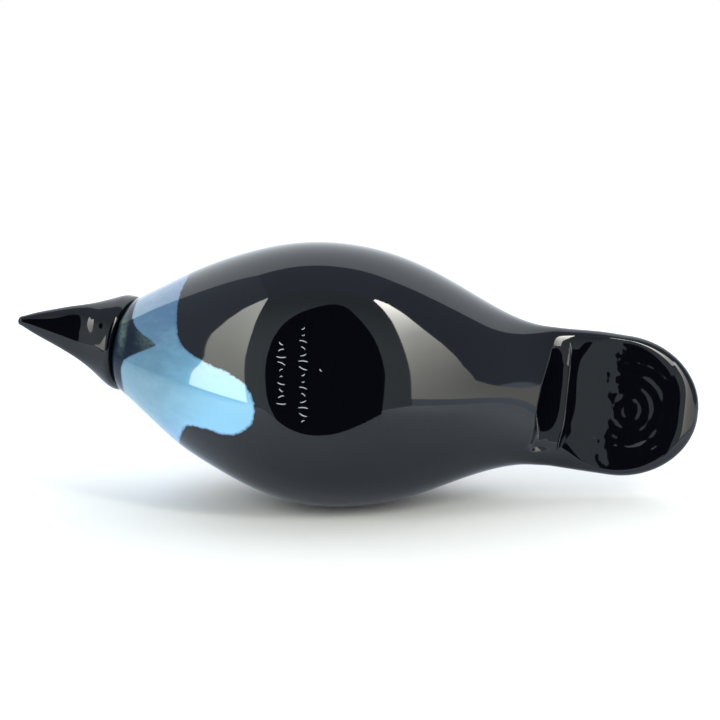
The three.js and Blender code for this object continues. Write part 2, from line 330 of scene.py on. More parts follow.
def face(x, y, plain):
    """How far the pressed face lies above the plain underside, behind the crest."""
    crest_x = CREST_AT(np.clip(y, CREST[0][0], CREST[-1][0]))
    level = face_height(x, y)
    pressed = soft_max(plain, level, FACE_BLEND) - plain
    inside = smooth(level - plain, 0, RIPPLES_FROM_EDGE)
    return (pressed + ripples(x, y) * inside) * smooth(x, crest_x, crest_x + FACE_WALL)


def ripples(x, y):
    """The faint rings and waves that the press left in the face."""
    out = np.hypot(x - RIPPLE_CENTRE[0], y - RIPPLE_CENTRE[1])
    round_it = np.arctan2(y - RIPPLE_CENTRE[1], x - RIPPLE_CENTRE[0])
    out = out * (1 + RING_WOBBLE * np.sin(2 * round_it + RING_PHASE))
    ring_height = tan(RING_TILT) * RINGS_APART / (2 * math.pi)
    rings = np.sin(2 * math.pi * (out - FIRST_RING) / RINGS_APART) * np.exp(-(out / RINGS_FADE) ** 2)
    uneven = 1 - RING_UNEVEN * (0.5 - 0.5 * np.sin(3 * round_it + RING_TWIST * out))
    height = ring_height * rings * uneven * smooth(x, *RINGS_FROM) * smooth(out, 0, RING_EYE)
    calm = 1 - CALM * smooth(x, *RINGS_FROM)
    for length, tilt, degrees, phase in WAVES:
        turn = math.radians(degrees)
        along = x * math.cos(turn) + y * math.sin(turn)
        aside = y * math.cos(turn) - x * math.sin(turn)
        bend = np.sin(aside / WAVE_WANDER * 2 * math.pi + phase * 3)
        swell = tan(tilt) * length / (2 * math.pi)
        height = height + calm * swell * np.sin(2 * math.pi * along / length + phase + bend)
    return height


def face_above(x, y):
    """How far the plainer pressing of the tail's top goes down."""
    from_round = np.hypot(np.maximum(x - FACE_CENTRE[0], 0), y - FACE_CENTRE[1]) - FACE_RADIUS
    from_front = FACE_FRONT_AT(y) - x
    return FACE_DEPTH_ABOVE * smooth(-np.maximum(from_round, from_front), 0, FACE_WALL_ABOVE)


def round_ribs(rib, angles, scale=1.0):
    """Places round the ribs. Angle 0 is the right flank, 90 degrees the back, -90 the keel."""
    across, upward = np.cos(angles), np.sin(angles)
    square = rib["square"]
    reach = scale * (np.abs(across) ** square + np.abs(upward) ** square) ** (-1 / square)
    u = rib["half"] * reach * across
    v = np.where(upward < 0, rib["down"], rib["up"]) * reach * upward
    lean, turn = np.radians(rib["lean"]), np.radians(rib["turn"])
    x = rib["x"] - u * np.sin(turn) + v * np.sin(lean) * np.cos(turn)
    y = rib["shift"] + u * np.cos(turn) + v * np.sin(lean) * np.sin(turn)
    return x, y, rib["height"] + v * np.cos(lean)


def skin(stations, angles, scale=1.0, carved=True):
    """Places on the body's skin, at stations along the bird and angles round its ribs."""
    rib = ribs_at(stations if stations.ndim == 2 else stations[:, None])
    x, y, z = round_ribs(rib, angles, scale)
    if carved:
        upward = np.sin(angles)
        below = hollow(x, y) + face(x, y, z)
        z = z + np.where(upward < -EDGE_LEFT_PLAIN, below, 0)
        z = z - np.where(upward > EDGE_LEFT_PLAIN, face_above(x, y), 0)
    z = soft_max(z, 0.0, BASE_BLEND)
    return np.stack((x, y, z), -1)


def even_angles(stations, sides):
    """Angles that part each ring into even lengths, from the keel round to the keel again."""
    fine = np.radians(np.linspace(-90, 270, STEPS_PER_SIDE * sides + 1))
    ring = skin(stations, np.tile(fine, (len(stations), 1)), carved=False)
    length = np.linalg.norm(np.diff(ring, axis=1), axis=2)
    walked = np.concatenate((np.zeros((len(stations), 1)), np.cumsum(length, axis=1)), axis=1)
    share = np.arange(sides) / sides
    return np.array([np.interp(share * row[-1], row, fine) for row in walked])


def bend_rings(stations, angles):
    """Stations for every vertex, moved so that a ring runs along each line of the underside."""
    y = skin(stations, angles, carved=False)[..., 1]
    even = np.broadcast_to(stations[:, None], y.shape)
    first, last = BENT_STATIONS[0], BENT_STATIONS[-1]
    lines = (first, line_at(HOLLOW_FRONT, y), line_at(CREST, y), line_at(FACE_FRONT, y), last)
    bent = even.copy()
    for i in range(len(lines) - 1):
        low, high = BENT_STATIONS[i:i + 2]
        share = (even - low) / (high - low)
        place = lines[i] + share * (lines[i + 1] - lines[i])
        bent = np.where((even >= low) & (even < high), place, bent)
    under = smooth(-np.sin(angles), BEND_FROM, BEND_FULL)
    return even + (bent - even) * under


def body_rings():
    """Stations of the body's rings, and the share of the rib's size that each has."""
    neck = RIBS[0][0]
    turn = np.linspace(0, math.pi / 2, LIP_RINGS + 1)
    lip = neck + NECK_LIP * (1 - np.cos(turn))
    lip_scale = 1 - NECK_LIP * (1 - np.sin(turn)) / NECK_RADIUS
    body = np.arange(lip[-1] + BODY_STEP / 2, TAIL_FROM, BODY_STEP)
    end_from = TAIL_TIP - (TAIL_TIP - RIBS[-1][0]) * END_SHARE
    tail = np.arange(TAIL_FROM, end_from, TAIL_STEP)
    extra = [line + offset for line in BENT_STATIONS[1:4] for offset in RING_OFFSETS]
    tail = [x for x in tail if min(abs(x - other) for other in extra) > RINGS_NO_CLOSER]
    tail = np.sort(np.array(tail + extra))
    swing = np.linspace(0, math.pi / 2, END_RINGS, endpoint=False)[1:]
    end = end_from + (TAIL_TIP - end_from) * np.sin(swing)
    stations = np.concatenate((lip, body, tail, [end_from], end))
    scale = np.concatenate((lip_scale, np.ones(len(stations) - len(lip))))
    return stations, scale


def add_object(bm, name, material):
    """A new object of the scene from a bmesh, in one material."""
    mesh = bpy.data.meshes.new(name)
    bm.to_mesh(mesh)
    bm.free()
    mesh.materials.append(material)
    obj = bpy.data.objects.new(name, mesh)
    bpy.context.scene.collection.objects.link(obj)
    return obj


def finish_piece(bm, name, material, flat=()):
    """A piece of the bird from a bmesh, smooth but for its flat faces, with outward normals."""
    bmesh.ops.recalc_face_normals(bm, faces=bm.faces)
    for item in bm.faces:
        item.smooth = True
    for item in flat:
        item.smooth = False
    return add_object(bm, name, material)


# The edges of the two colours on the skin, each as degrees round from the keel, with the bird's right
# side positive, against the station along the bird. The pale patch lies between the two lines,
# and the dark collar lies between the second one and the seam at the neck
PATCH_EDGE = (
    (-200, -48), (-160, -49.5), (-120, -47.5), (-95, -49.5), (-79, -50), (-61, -49.2), (-48, -49.5),
    (-37, -49.2), (-24, -48.2), (-14, -47), (-7, -45.5), (-2.5, -42.8), (0.5, -40.2), (4.5, -35.5),
    (6.5, -30.8), (10, -27.5), (13, -24.5), (20, -22), (27, -20.8), (34, -21.2), (39, -23.2),
    (44, -26.8), (46, -31), (46, -35), (47, -39), (49, -41.8), (55, -43.2), (66, -44.8), (90, -46.5),
    (120, -49), (160, -47), (200, -48),
)
COLLAR_EDGE = (
    (-200, -64.5), (-150, -65.5), (-110, -64.8), (-65, -66.2), (-39, -64.8), (-29, -64), (-21, -62.5),
    (-17, -61.2), (-11, -58.2), (-7, -55), (-4, -53.5), (0.5, -56.2), (5, -59), (11, -62),
    (16, -63.8), (26, -64.8), (36, -64.8), (46, -64.8), (60, -65), (100, -64), (150, -65.5),
    (200, -64.5),
)
MM_PER_DEGREE = 0.6
PAST_THE_SEAM = -75
TINY = 1e-12


def signed_distance(points, outline):
    """How far points lie inside a closed outline in a plane; outside it is negative."""
    inside = np.zeros(len(points), bool)
    nearest = np.full(len(points), np.inf)
    for a, b in zip(outline, np.roll(outline, -1, axis=0)):
        along = b - a
        share = np.clip((points - a) @ along / max(along @ along, TINY), 0, 1)
        nearest = np.minimum(nearest, np.linalg.norm(points - a - share[:, None] * along, axis=1))
        crosses = (a[1] > points[:, 1]) != (b[1] > points[:, 1])
        if a[1] != b[1]:
            meets = a[0] + (points[:, 1] - a[1]) * along[0] / along[1]
            inside ^= crosses & (points[:, 0] < meets)
    return np.where(inside, nearest, -nearest)


def colour_distances(stations, around):
    """For places on the skin, how far each lies inside the patch and inside the collar, in mm."""
    flat = np.array((MM_PER_DEGREE, 1.0))
    places = np.column_stack((around, stations)) * flat
    patch_edge = np.array(PATCH_EDGE, float) * flat
    collar_edge = np.array(COLLAR_EDGE, float) * flat
    first, last = COLLAR_EDGE[0][0], COLLAR_EDGE[-1][0]
    seam = np.array(((last, PAST_THE_SEAM), (first, PAST_THE_SEAM)), float) * flat
    patch = np.concatenate((patch_edge, collar_edge[::-1]))
    collar = np.concatenate((collar_edge, seam))
    return signed_distance(places, patch), signed_distance(places, collar)


def lay_skin(places, marks):
    """A bmesh laid on rings of places, closed flat at the first ring and to a point at the last."""
    rings, sides = places.shape[:2]
    bm = bmesh.new()
    bmesh.ops.create_grid(bm, x_segments=sides, y_segments=rings - 1, size=1)
    layers = {name: bm.verts.layers.float.new(name) for name in marks}
    tip = []
    for vert in bm.verts:
        side = round((vert.co.x + 1) / 2 * sides) % sides
        ring = round((vert.co.y + 1) / 2 * (rings - 1))
        vert.co = places[ring, side] * MM
        for name, layer in layers.items():
            vert[layer] = marks[name][ring, side]
        if ring == rings - 1:
            tip.append(vert)
    middle = sum((vert.co for vert in tip), Vector()) / len(tip)
    bmesh.ops.pointmerge(bm, verts=tip, merge_co=middle)
    bmesh.ops.remove_doubles(bm, verts=bm.verts, dist=WELD)
    rim = [edge for edge in bm.edges if edge.is_boundary]
    flat = bmesh.ops.holes_fill(bm, edges=rim, sides=0)["faces"]
    return bm, flat


def make_body(material):
    """The blown body with its pressed tail: a grid laid on the skin from the neck to the tip."""
    stations, scale = body_rings()
    angles = even_angles(stations, SIDES)
    places = skin(bend_rings(stations, angles), angles, scale[:, None])
    ribs = ribs_at(stations)
    around = np.degrees(np.arctan2(
        places[..., 1] - ribs["shift"][:, None], ribs["height"][:, None] - places[..., 2],
    ))
    along = np.broadcast_to(stations[:, None], around.shape)
    patch, collar = colour_distances(along.ravel(), around.ravel())
    marks = {"in_patch": patch.reshape(around.shape), "in_collar": collar.reshape(around.shape)}
    bm, neck = lay_skin(places, marks)
    return finish_piece(bm, "body_glass", material, flat=neck)


def throat(x, y):
    """How far the lump stands down from the head's underside."""
    out = ((x - LUMP_PLACE[0]) / LUMP_SIZE[0]) ** 2 + ((y - LUMP_PLACE[1]) / LUMP_SIZE[1]) ** 2
    return LUMP_PROUD * np.exp(-out)


def make_head(material):
    """The head: a gather drawn out to the beak, with a lump where it was pinched at the throat."""
    seam, tip_from = HEAD_RIBS[-1][0], HEAD_RIBS[0][0]
    shoulder = np.arange(seam, HEAD_RIBS[-SHOULDER_RIBS][0], -SHOULDER_STEP)
    drawn = np.arange(shoulder[-1] - HEAD_STEP, tip_from, -HEAD_STEP)
    swing = np.linspace(0, math.pi / 2, TIP_RINGS + 1)
    tip = tip_from + (BEAK_TIP - tip_from) * np.sin(swing)
    stations = np.concatenate(([RIBS[0][0]], shoulder, drawn, tip))
    scale = np.ones(len(stations))
    scale[0] = 1 - HEAD_LIP / NECK_RADIUS
    angles = np.radians(np.linspace(-90, 270, HEAD_SIDES, endpoint=False))[None, :]
    x, y, z = round_ribs(head_ribs_at(stations[:, None]), angles, scale[:, None])
    z = z - throat(x, y) * smooth(-np.sin(angles), *LUMP_UNDER)
    bm, joint = lay_skin(np.stack((x, y, z), -1), {})
    return finish_piece(bm, "head_glass", material, flat=joint)


# Two rows of shallow strokes scratched across the flattened base, each row as the places of its
# ends and its count, with the lengths and leans that its strokes pick in turn; and one small mark
FIRST_ROW = ((-15.6, -9.3), (-13.0, 12.4), 10)
SECOND_ROW = ((-9.0, -15.1), (-5.2, 17.4), 15)
STROKE_LENGTHS = (2.6, 1.3, 3.2, 1.7, 1.0, 2.9, 2.1)
STROKE_LEANS = (16, -30, 4, 38, -12, 24, -18)
STROKE_SKIP = 3
STROKE_BOW = 0.22
SMALL_MARK = ((-1.9, -1.5), (-1.1, -0.7))
STROKE_WIDTH = 0.30
STROKE_NARROWEST = 0.25
STROKE_STEP = 0.25
STROKE_FEWEST_STEPS = 4
STROKE_PROUD = 0.02
STROKE_SUNK = 0.06
BELOW_THE_BASE = -50

# An extrusion hands back its side faces in another order each run, so the strokes' faces are sorted
# by their places along this slanting line, where no two of them tie
FACE_ORDER = Vector((1, 0.37, 0.11))


def stroke_ends():
    """The ends of every stroke, as pairs of places on the base."""
    ends = [SMALL_MARK]
    for row_start, row_end, count in (FIRST_ROW, SECOND_ROW):
        start, end = Vector(row_start), Vector(row_end)
        across = (end - start).normalized()
        for i in range(count):
            pick = (i * STROKE_SKIP + count) % len(STROKE_LENGTHS)
            middle = start.lerp(end, (i + 0.5) / count)
            half = Matrix.Rotation(math.radians(90 + STROKE_LEANS[pick]), 2) @ across
            half *= STROKE_LENGTHS[pick] / 2
            ends.append((middle - half, middle + half))
    return ends


def make_strokes(body, material):
    """The strokes: thin slips of roughened glass, laid along the skin of the base."""
    tree = BVHTree.FromObject(body, bpy.context.evaluated_depsgraph_get())
    bm = bmesh.new()
    for start, end in stroke_ends():
        start, end = Vector(start), Vector(end)
        along = end - start
        steps = max(STROKE_FEWEST_STEPS, round(along.length / STROKE_STEP))
        made = bmesh.ops.create_grid(bm, x_segments=steps, y_segments=1, size=1)["verts"]
        side = along.normalized().orthogonal()
        bend = STROKE_BOW if round(start.y * 10) % 2 else -STROKE_BOW
        faces = list({item for vert in made for item in vert.link_faces})
        for vert in made:
            share = (vert.co.x + 1) / 2
            taper = math.sqrt(max(0.0, 1 - (2 * share - 1) ** 4))
            width = STROKE_WIDTH / 2 * max(taper, STROKE_NARROWEST)
            bow = bend * math.sin(math.pi * share)
            place = start + along * share + side * (vert.co.y * width + bow)
            below = Vector((place.x * MM, place.y * MM, BELOW_THE_BASE * MM))
            vert.co = tree.ray_cast(below, Vector((0, 0, 1)))[0] - Vector((0, 0, STROKE_PROUD * MM))
        grown = bmesh.ops.extrude_face_region(bm, geom=faces, use_keep_orig=True)["geom"]
        upper = [item for item in grown if isinstance(item, bmesh.types.BMVert)]
        bmesh.ops.translate(bm, verts=upper, vec=(0, 0, (STROKE_PROUD + STROKE_SUNK) * MM))
    bm.faces.sort(key=lambda face: face.calc_center_median() @ FACE_ORDER)
    return finish_piece(bm, "base_strokes", material, flat=bm.faces)


class Nodes:
    """A short way to lay out the nodes of one material or world."""

    def __init__(self, tree):
        self.tree = tree
        tree.nodes.clear()

    def feed(self, socket, value):
        """Links an output to a socket, or sets the socket's own value."""
        if isinstance(value, bpy.types.NodeSocket):
            self.tree.links.new(value, socket)
        else:
            socket.default_value = value

    def math(self, operation, *values):
        node = self.tree.nodes.new("ShaderNodeMath")
        node.operation = operation
        for socket, value in zip(node.inputs, values):
            self.feed(socket, value)
        return node.outputs[0]

    def rise(self, value, low, high):
        """A smooth rise from 0 to 1 as the value goes from low to high."""
        node = self.tree.nodes.new("ShaderNodeMapRange")
        node.interpolation_type = "SMOOTHSTEP"
        self.feed(node.inputs["Value"], value)
        self.feed(node.inputs["From Min"], low)
        self.feed(node.inputs["From Max"], high)
        return node.outputs["Result"]

    def mix_colour(self, factor, a, b):
        node = self.tree.nodes.new("ShaderNodeMix")
        node.data_type = "RGBA"
        self.feed(node.inputs["Factor"], factor)
        for name, value in (("A", a), ("B", b)):
            socket = next(item for item in node.inputs if item.name == name and item.type == "RGBA")
            self.feed(socket, value)
        return next(item for item in node.outputs if item.type == "RGBA")

    def mix_shader(self, factor, a, b):
        node = self.tree.nodes.new("ShaderNodeMixShader")
        self.feed(node.inputs[0], factor)
        self.feed(node.inputs[1], a)
        self.feed(node.inputs[2], b)
        return node.outputs[0]

    def noise(self, where, scale, detail=2.0, roughness=0.5):
        node = self.tree.nodes.new("ShaderNodeTexNoise")
        self.feed(node.inputs["Vector"], where)
        node.inputs["Scale"].default_value = scale
        node.inputs["Detail"].default_value = detail
        node.inputs["Roughness"].default_value = roughness
        return node.outputs["Factor"] if "Factor" in node.outputs else node.outputs["Fac"]

    def attribute(self, name):
        node = self.tree.nodes.new("ShaderNodeAttribute")
        node.attribute_name = name
        return node.outputs["Fac"]


def new_material(name):
    material = bpy.data.materials.new(name)
    material.use_nodes = True
    return material, Nodes(material.node_tree)


def glass_shader(nodes, colour, roughness, ior, tint=(1, 1, 1, 1), gloss=0.5):
    """A Principled shader of one glass finish."""
    node = nodes.tree.nodes.new("ShaderNodeBsdfPrincipled")
    nodes.feed(node.inputs["Base Color"], colour)
    nodes.feed(node.inputs["Roughness"], roughness)
    node.inputs["IOR"].default_value = ior
    node.inputs["Specular Tint"].default_value = tint
    node.inputs["Specular IOR Level"].default_value = gloss
    return node.outputs[0]


def surface(nodes, shader):
    out = nodes.tree.nodes.new("ShaderNodeOutputMaterial")
    nodes.tree.links.new(shader, out.inputs["Surface"])


BLACK_GLASS = (0.0022, 0.0024, 0.0042, 1)
GLASS_ROUGHNESS = 0.035
GLASS_IOR = 1.5
SCRATCHED_GLASS = (0.46, 0.48, 0.49, 1)
SCRATCH_ROUGHNESS = 0.7
# Noises of the glass, each as its scale per metre, its detail and how rough it is
SMEARS = (60, 3, 0.5)
FINE_TEAR = (900, 2, 0.6)
COARSE_TEAR = (380, 3, 0.6)
TORN_PLACES = (70, 1, 0.5)
STREAKS = (260, 4, 0.6)
SMOKE = (900, 2, 0.5)
# How far the noises reach: the smears in roughness, the tears in millimetres at the patch's edge,
# and the streaks in metres
SMEAR_REACH = 0.03
FINE_REACH = 0.9
COARSE_REACH = 1.9
STREAK_REACH = 0.008
# The streaks run along the bird, as the colour was drawn out with the hot glass
STREAK_STRETCH = (0.16, 1, 1)
STREAK_TILT = -35


def black_glass(nodes):
    """The black glass: near-black and glossy, with faint smears in its gloss. Also gives the place
    and the roughness, which the colours over it share."""
    where = nodes.tree.nodes.new("ShaderNodeTexCoord").outputs["Object"]
    smear = nodes.math("MULTIPLY", nodes.noise(where, *SMEARS), SMEAR_REACH)
    roughness = nodes.math("ADD", smear, GLASS_ROUGHNESS - SMEAR_REACH / 2)
    return where, roughness, glass_shader(nodes, BLACK_GLASS, roughness, GLASS_IOR)


# The lustre patch: its deeper blue on the left and paler blue on the right, from the neck to the
# lobe, where the paler right is painted light from the floor beside it; the lilac of its two
# flanks, a painted sheen; its milky streaks and its darker edge line; and the collar's navy with
# its pale green part, a painted reflection. The shares say how much of the milk and the edge line
# shows
LUSTRE_DEEP = (0.042, 0.125, 0.25, 1)
LUSTRE_NECK = (0.084, 0.21, 0.30, 1)
LUSTRE_LOBE = (0.20, 0.52, 0.76, 1)
LUSTRE_LEFT_SHEEN = (0.03, 0.065, 0.26, 1)
LUSTRE_RIGHT_SHEEN = (0.19, 0.20, 0.48, 1)
LUSTRE_MILKY = (0.22, 0.42, 0.55, 1)
LUSTRE_EDGE = (0.03, 0.10, 0.26, 1)
MILKY_SHARE = 0.15
EDGE_SHARE = 0.7
LUSTRE_IOR = 2.2
LUSTRE_TINT = (0.90, 1.0, 0.92, 1)
COLLAR_NAVY = (0.003, 0.009, 0.022, 1)
COLLAR_REFLECTED_GREEN = (0.11, 0.165, 0.145, 1)
COLLAR_GLOSS = 0.2
# Where the colours change, in metres: the patch pales from its left to its right, as painted light,
# and from the neck to the lobe, and turns lilac on both flanks, as a painted sheen; the collar's
# wedge, given by its middle and its reach, turns green towards its point, with one streak behind
# it, given in the same way: that green is a painted reflection
PAINTED_LIGHT_ACROSS = (-0.016, 0.010)
PALE_ALONG = (-0.062, -0.031)
PAINTED_SHEEN_LEFT = (-0.013, -0.032)
PAINTED_SHEEN_RIGHT = (0.020, 0.038)
WEDGE_ACROSS = (-0.0065, 0.0115)
WEDGE_ALONG = (-0.068, -0.058)
REFLECTION_STREAK_ALONG = (-0.0708, 0.0022)
# The ranges over which each mask turns on: the first three in millimetres inside the edges of the
# patch and the collar, the others in the values of their noises
PATCH_TURNS = (-0.2, 0.2)
COLLAR_TURNS = (-0.25, 0.25)
EDGE_LINE_TURNS = (0.8, 0.2)
TORN_TURNS = (0.5, 0.62)
MILKY_TURNS = (0.38, 0.78)
SMOKE_TURNS = (0.0, 0.8)


def wander(nodes, noise, reach):
    """A noise that strays to both sides of 0."""
    return nodes.math("MULTIPLY", nodes.math("SUBTRACT", noise, 0.5), reach)


def drawn_places(nodes, where):
    """Places stretched along the bird, for patterns that were drawn out with the hot glass."""
    drawn = nodes.tree.nodes.new("ShaderNodeMapping")
    drawn.inputs["Scale"].default_value = STREAK_STRETCH
    drawn.inputs["Rotation"].default_value = (0, math.radians(STREAK_TILT), 0)
    nodes.feed(drawn.inputs["Vector"], where)
    return drawn.outputs[0]


def colour_masks(nodes, where):
    """Where the patch is, with its torn edge, where the darker line along it is, and the collar."""
    fine = wander(nodes, nodes.noise(where, *FINE_TEAR), FINE_REACH)
    coarse = wander(nodes, nodes.noise(where, *COARSE_TEAR), COARSE_REACH)
    torn = nodes.math("MULTIPLY", coarse, nodes.rise(nodes.noise(where, *TORN_PLACES), *TORN_TURNS))
    in_patch = nodes.math("ADD", nodes.attribute("in_patch"), nodes.math("ADD", torn, fine))
    in_collar = nodes.math("ADD", nodes.attribute("in_collar"), fine)
    patch, edge = nodes.rise(in_patch, *PATCH_TURNS), nodes.rise(in_patch, *EDGE_LINE_TURNS)
    return patch, edge, nodes.rise(in_collar, *COLLAR_TURNS)


def patch_colour(nodes, along, across, streak, edge):
    """The patch's blue with milky streaks. It pales to the lobe; its paler right is painted light
    from the floor beside it, and its lilac flanks are a painted sheen.
    """
    stray = wander(nodes, streak, STREAK_REACH)
    towards_lobe = nodes.rise(nodes.math("ADD", along, stray), *PALE_ALONG)
    lit_side_blue = nodes.mix_colour(towards_lobe, LUSTRE_NECK, LUSTRE_LOBE)
    # Paler to the right: painted light from the floor that this side faces
    pale = nodes.rise(nodes.math("ADD", across, stray), *PAINTED_LIGHT_ACROSS)
    blue = nodes.mix_colour(pale, LUSTRE_DEEP, lit_side_blue)
    # Lilac on both flanks: a painted sheen
    blue = nodes.mix_colour(nodes.rise(across, *PAINTED_SHEEN_LEFT), blue, LUSTRE_LEFT_SHEEN)
    blue = nodes.mix_colour(nodes.rise(across, *PAINTED_SHEEN_RIGHT), blue, LUSTRE_RIGHT_SHEEN)
    milky = nodes.math("MULTIPLY", nodes.rise(streak, *MILKY_TURNS), MILKY_SHARE)
    blue = nodes.mix_colour(milky, blue, LUSTRE_MILKY)
    return nodes.mix_colour(nodes.math("MULTIPLY", edge, EDGE_SHARE), blue, LUSTRE_EDGE)


def collar_colour(nodes, along, across, streak, drawn):
    """The collar's navy, with a painted reflection: smoky green in the wedge's point and in one streak.
    """
    stray = wander(nodes, streak, STREAK_REACH)
    off_wedge = nodes.math("ABSOLUTE", nodes.math("SUBTRACT", across, WEDGE_ACROSS[0]))
    in_wedge = nodes.rise(nodes.math("ADD", off_wedge, stray), WEDGE_ACROSS[1], 0.0)
    towards_point = nodes.rise(nodes.math("ADD", along, stray), *WEDGE_ALONG)
    off_reflection_streak = nodes.math("ABSOLUTE", nodes.math("SUBTRACT", along, REFLECTION_STREAK_ALONG[0]))
    on_reflection_streak = nodes.rise(off_reflection_streak, REFLECTION_STREAK_ALONG[1], 0.0)
    # The green is a painted reflection
    green = nodes.math("MULTIPLY", nodes.math("MAXIMUM", towards_point, on_reflection_streak), in_wedge)
    smoky = nodes.rise(nodes.noise(drawn, *SMOKE), *SMOKE_TURNS)
    return nodes.mix_colour(nodes.math("MULTIPLY", green, smoky), COLLAR_NAVY, COLLAR_REFLECTED_GREEN)


def body_material():
    """The body's glass, with the pale metallic patch and the dark teal collar at the neck."""
    material, nodes = new_material("black_and_lustre_glass")
    where, roughness, black = black_glass(nodes)
    split = nodes.tree.nodes.new("ShaderNodeSeparateXYZ")
    nodes.feed(split.inputs[0], where)
    along, across = split.outputs["X"], split.outputs["Y"]
    drawn = drawn_places(nodes, where)
    streak = nodes.noise(drawn, *STREAKS)
    patch, edge, collar = colour_masks(nodes, where)
    blue = patch_colour(nodes, along, across, streak, edge)
    dark = collar_colour(nodes, along, across, streak, drawn)
    film = glass_shader(nodes, blue, roughness, LUSTRE_IOR, LUSTRE_TINT)
    teal = glass_shader(nodes, dark, roughness, GLASS_IOR, gloss=COLLAR_GLOSS)
    surface(nodes, nodes.mix_shader(collar, nodes.mix_shader(patch, black, film), teal))
    return material


def head_material():
    material, nodes = new_material("black_glass")
    surface(nodes, black_glass(nodes)[2])
    return material


def stroke_material():
    material, nodes = new_material("scratched_glass")
    surface(nodes, glass_shader(nodes, SCRATCHED_GLASS, SCRATCH_ROUGHNESS, GLASS_IOR))
    return material


# The camera: a long lens below the bird, turned so that the beak is on the left
CAMERA_PLACE = (10.83, -5.91, -721)
CAMERA_ROLL = 6.8
LENS = 110
SENSOR = 36
ROLL = math.radians(CAMERA_ROLL)
VIEW_RIGHT = Vector((math.cos(ROLL), -math.sin(ROLL), 0))
VIEW_UP = Vector((-math.sin(ROLL), -math.cos(ROLL), 0))
VIEW_AHEAD = Vector((0, 0, 1))


def make_camera():
    data = bpy.data.cameras.new("photograph")
    data.lens = LENS
    data.sensor_width = SENSOR
    data.clip_start = 0.05
    data.clip_end = 20
    camera = bpy.data.objects.new("photograph", data)
    turned = Matrix((VIEW_RIGHT, VIEW_UP, -VIEW_AHEAD)).transposed().to_4x4()
    turned.translation = Vector(CAMERA_PLACE) * MM
    camera.matrix_world = turned
    bpy.context.scene.collection.objects.link(camera)
    bpy.context.scene.camera = camera


# The light tent round the bird, in axes of its own: right, up and back as the camera sees them,
# in millimetres from the bird's origin, with the turns of those axes in degrees
ROOM_ELEVATION = 12.6
ROOM_YAW = -6.2
FRONT, BACK = -244, 108
CEILING = 586
TABLE = -52
# What keeps cards from lying in one another: panels stand off their walls, and papers lie apart
PANEL_OFF_WALL = 3
PAPER_UNDER_TABLE = 0.5
GLASS_TABLE_UNDER = 1


def room_axes():
    elevation, yaw = math.radians(ROOM_ELEVATION), math.radians(ROOM_YAW)
    up = VIEW_UP * math.cos(elevation) - VIEW_AHEAD * math.sin(elevation)
    level = VIEW_UP * math.sin(elevation) + VIEW_AHEAD * math.cos(elevation)
    right = VIEW_RIGHT * math.cos(yaw) + level * math.sin(yaw)
    back = level * math.cos(yaw) - VIEW_RIGHT * math.sin(yaw)
    return right, up, back


ROOM_RIGHT, ROOM_UP, ROOM_BACK = room_axes()


def in_room(right, up, back):
    return (ROOM_RIGHT * right + ROOM_UP * up + ROOM_BACK * back) * MM


def card(name, rows, material, columns=12):
    """A flat card of the tent, which no camera sees, laid out in strips from one side to the other.

    Each row is its two ends in room axes, and how bright the card is at each end."""
    bm = bmesh.new()
    bmesh.ops.create_grid(bm, x_segments=columns, y_segments=len(rows) - 1, size=1)
    layer = bm.verts.layers.float.new("glow")
    for vert in bm.verts:
        share = (vert.co.x + 1) / 2
        start, end, from_glow, to_glow = rows[round((vert.co.y + 1) / 2 * (len(rows) - 1))]
        vert.co = in_room(*start).lerp(in_room(*end), share)
        vert[layer] = from_glow + (to_glow - from_glow) * share
    obj = add_object(bm, name, material)
    obj.visible_camera = False
    return obj


def glow_shader(nodes, colour):
    """Light of one colour, as strong at each place as the card's glow there."""
    node = nodes.tree.nodes.new("ShaderNodeEmission")
    node.inputs["Color"].default_value = (*colour, 1)
    nodes.feed(node.inputs["Strength"], nodes.attribute("glow"))
    return node.outputs[0]


def matt_shader(nodes, colour):
    node = nodes.tree.nodes.new("ShaderNodeBsdfDiffuse")
    node.inputs["Color"].default_value = (*colour, 1)
    return node.outputs[0]


def glowing(name, colour):
    material, nodes = new_material(name)
    surface(nodes, glow_shader(nodes, colour))
    return material


def matt(name, colour):
    material, nodes = new_material(name)
    surface(nodes, matt_shader(nodes, colour))
    return material


# The side walls lean a little: for each height, how far to the side each one is
LEFT_WALL = ((-60, -255), (0, -262), (90, -280), (183, -285), (400, -330), (CEILING, -375))
RIGHT_WALL = ((-60, 340), (50, 350), (152, 356), (373, 380), (CEILING, 362))
# The bright side panels, row by row: the heights at the front corner and at the panel's edge, how
# far back that edge is, and how bright the panel is at the corner and at the edge
LEFT_PANEL = (
    (-45, -31, -114, 3.4, 3.4), (-20, -12, -121, 3.5, 3.5), (10, 14, -130, 3.7, 3.7),
    (40, 42, -143, 4.1, 4.0), (65, 65, -148, 4.4, 4.2), (93, 93, -143, 4.8, 4.4),
    (138, 138, -130, 5.6, 5.0), (203, 203, -125, 6.4, 5.8), (285, 285, -138, 7.2, 6.8),
    (401, 401, -176, 7.6, 7.6), (560, 560, -235, 7.6, 7.6),
)
RIGHT_PANEL = (
    (-28, -47, 60, 3.0, 1.5), (-20, -24, -5, 3.1, 1.7), (-6, -6, -45, 3.2, 1.9), (46, 46, -82, 4.0, 2.6),
    (115, 115, -104, 5.4, 4.0), (202, 202, -119, 7.5, 6.5), (331, 331, -141, 13, 16),
    (456, 456, -172, 20, 25), (584, 584, -222, 25, 25),
)
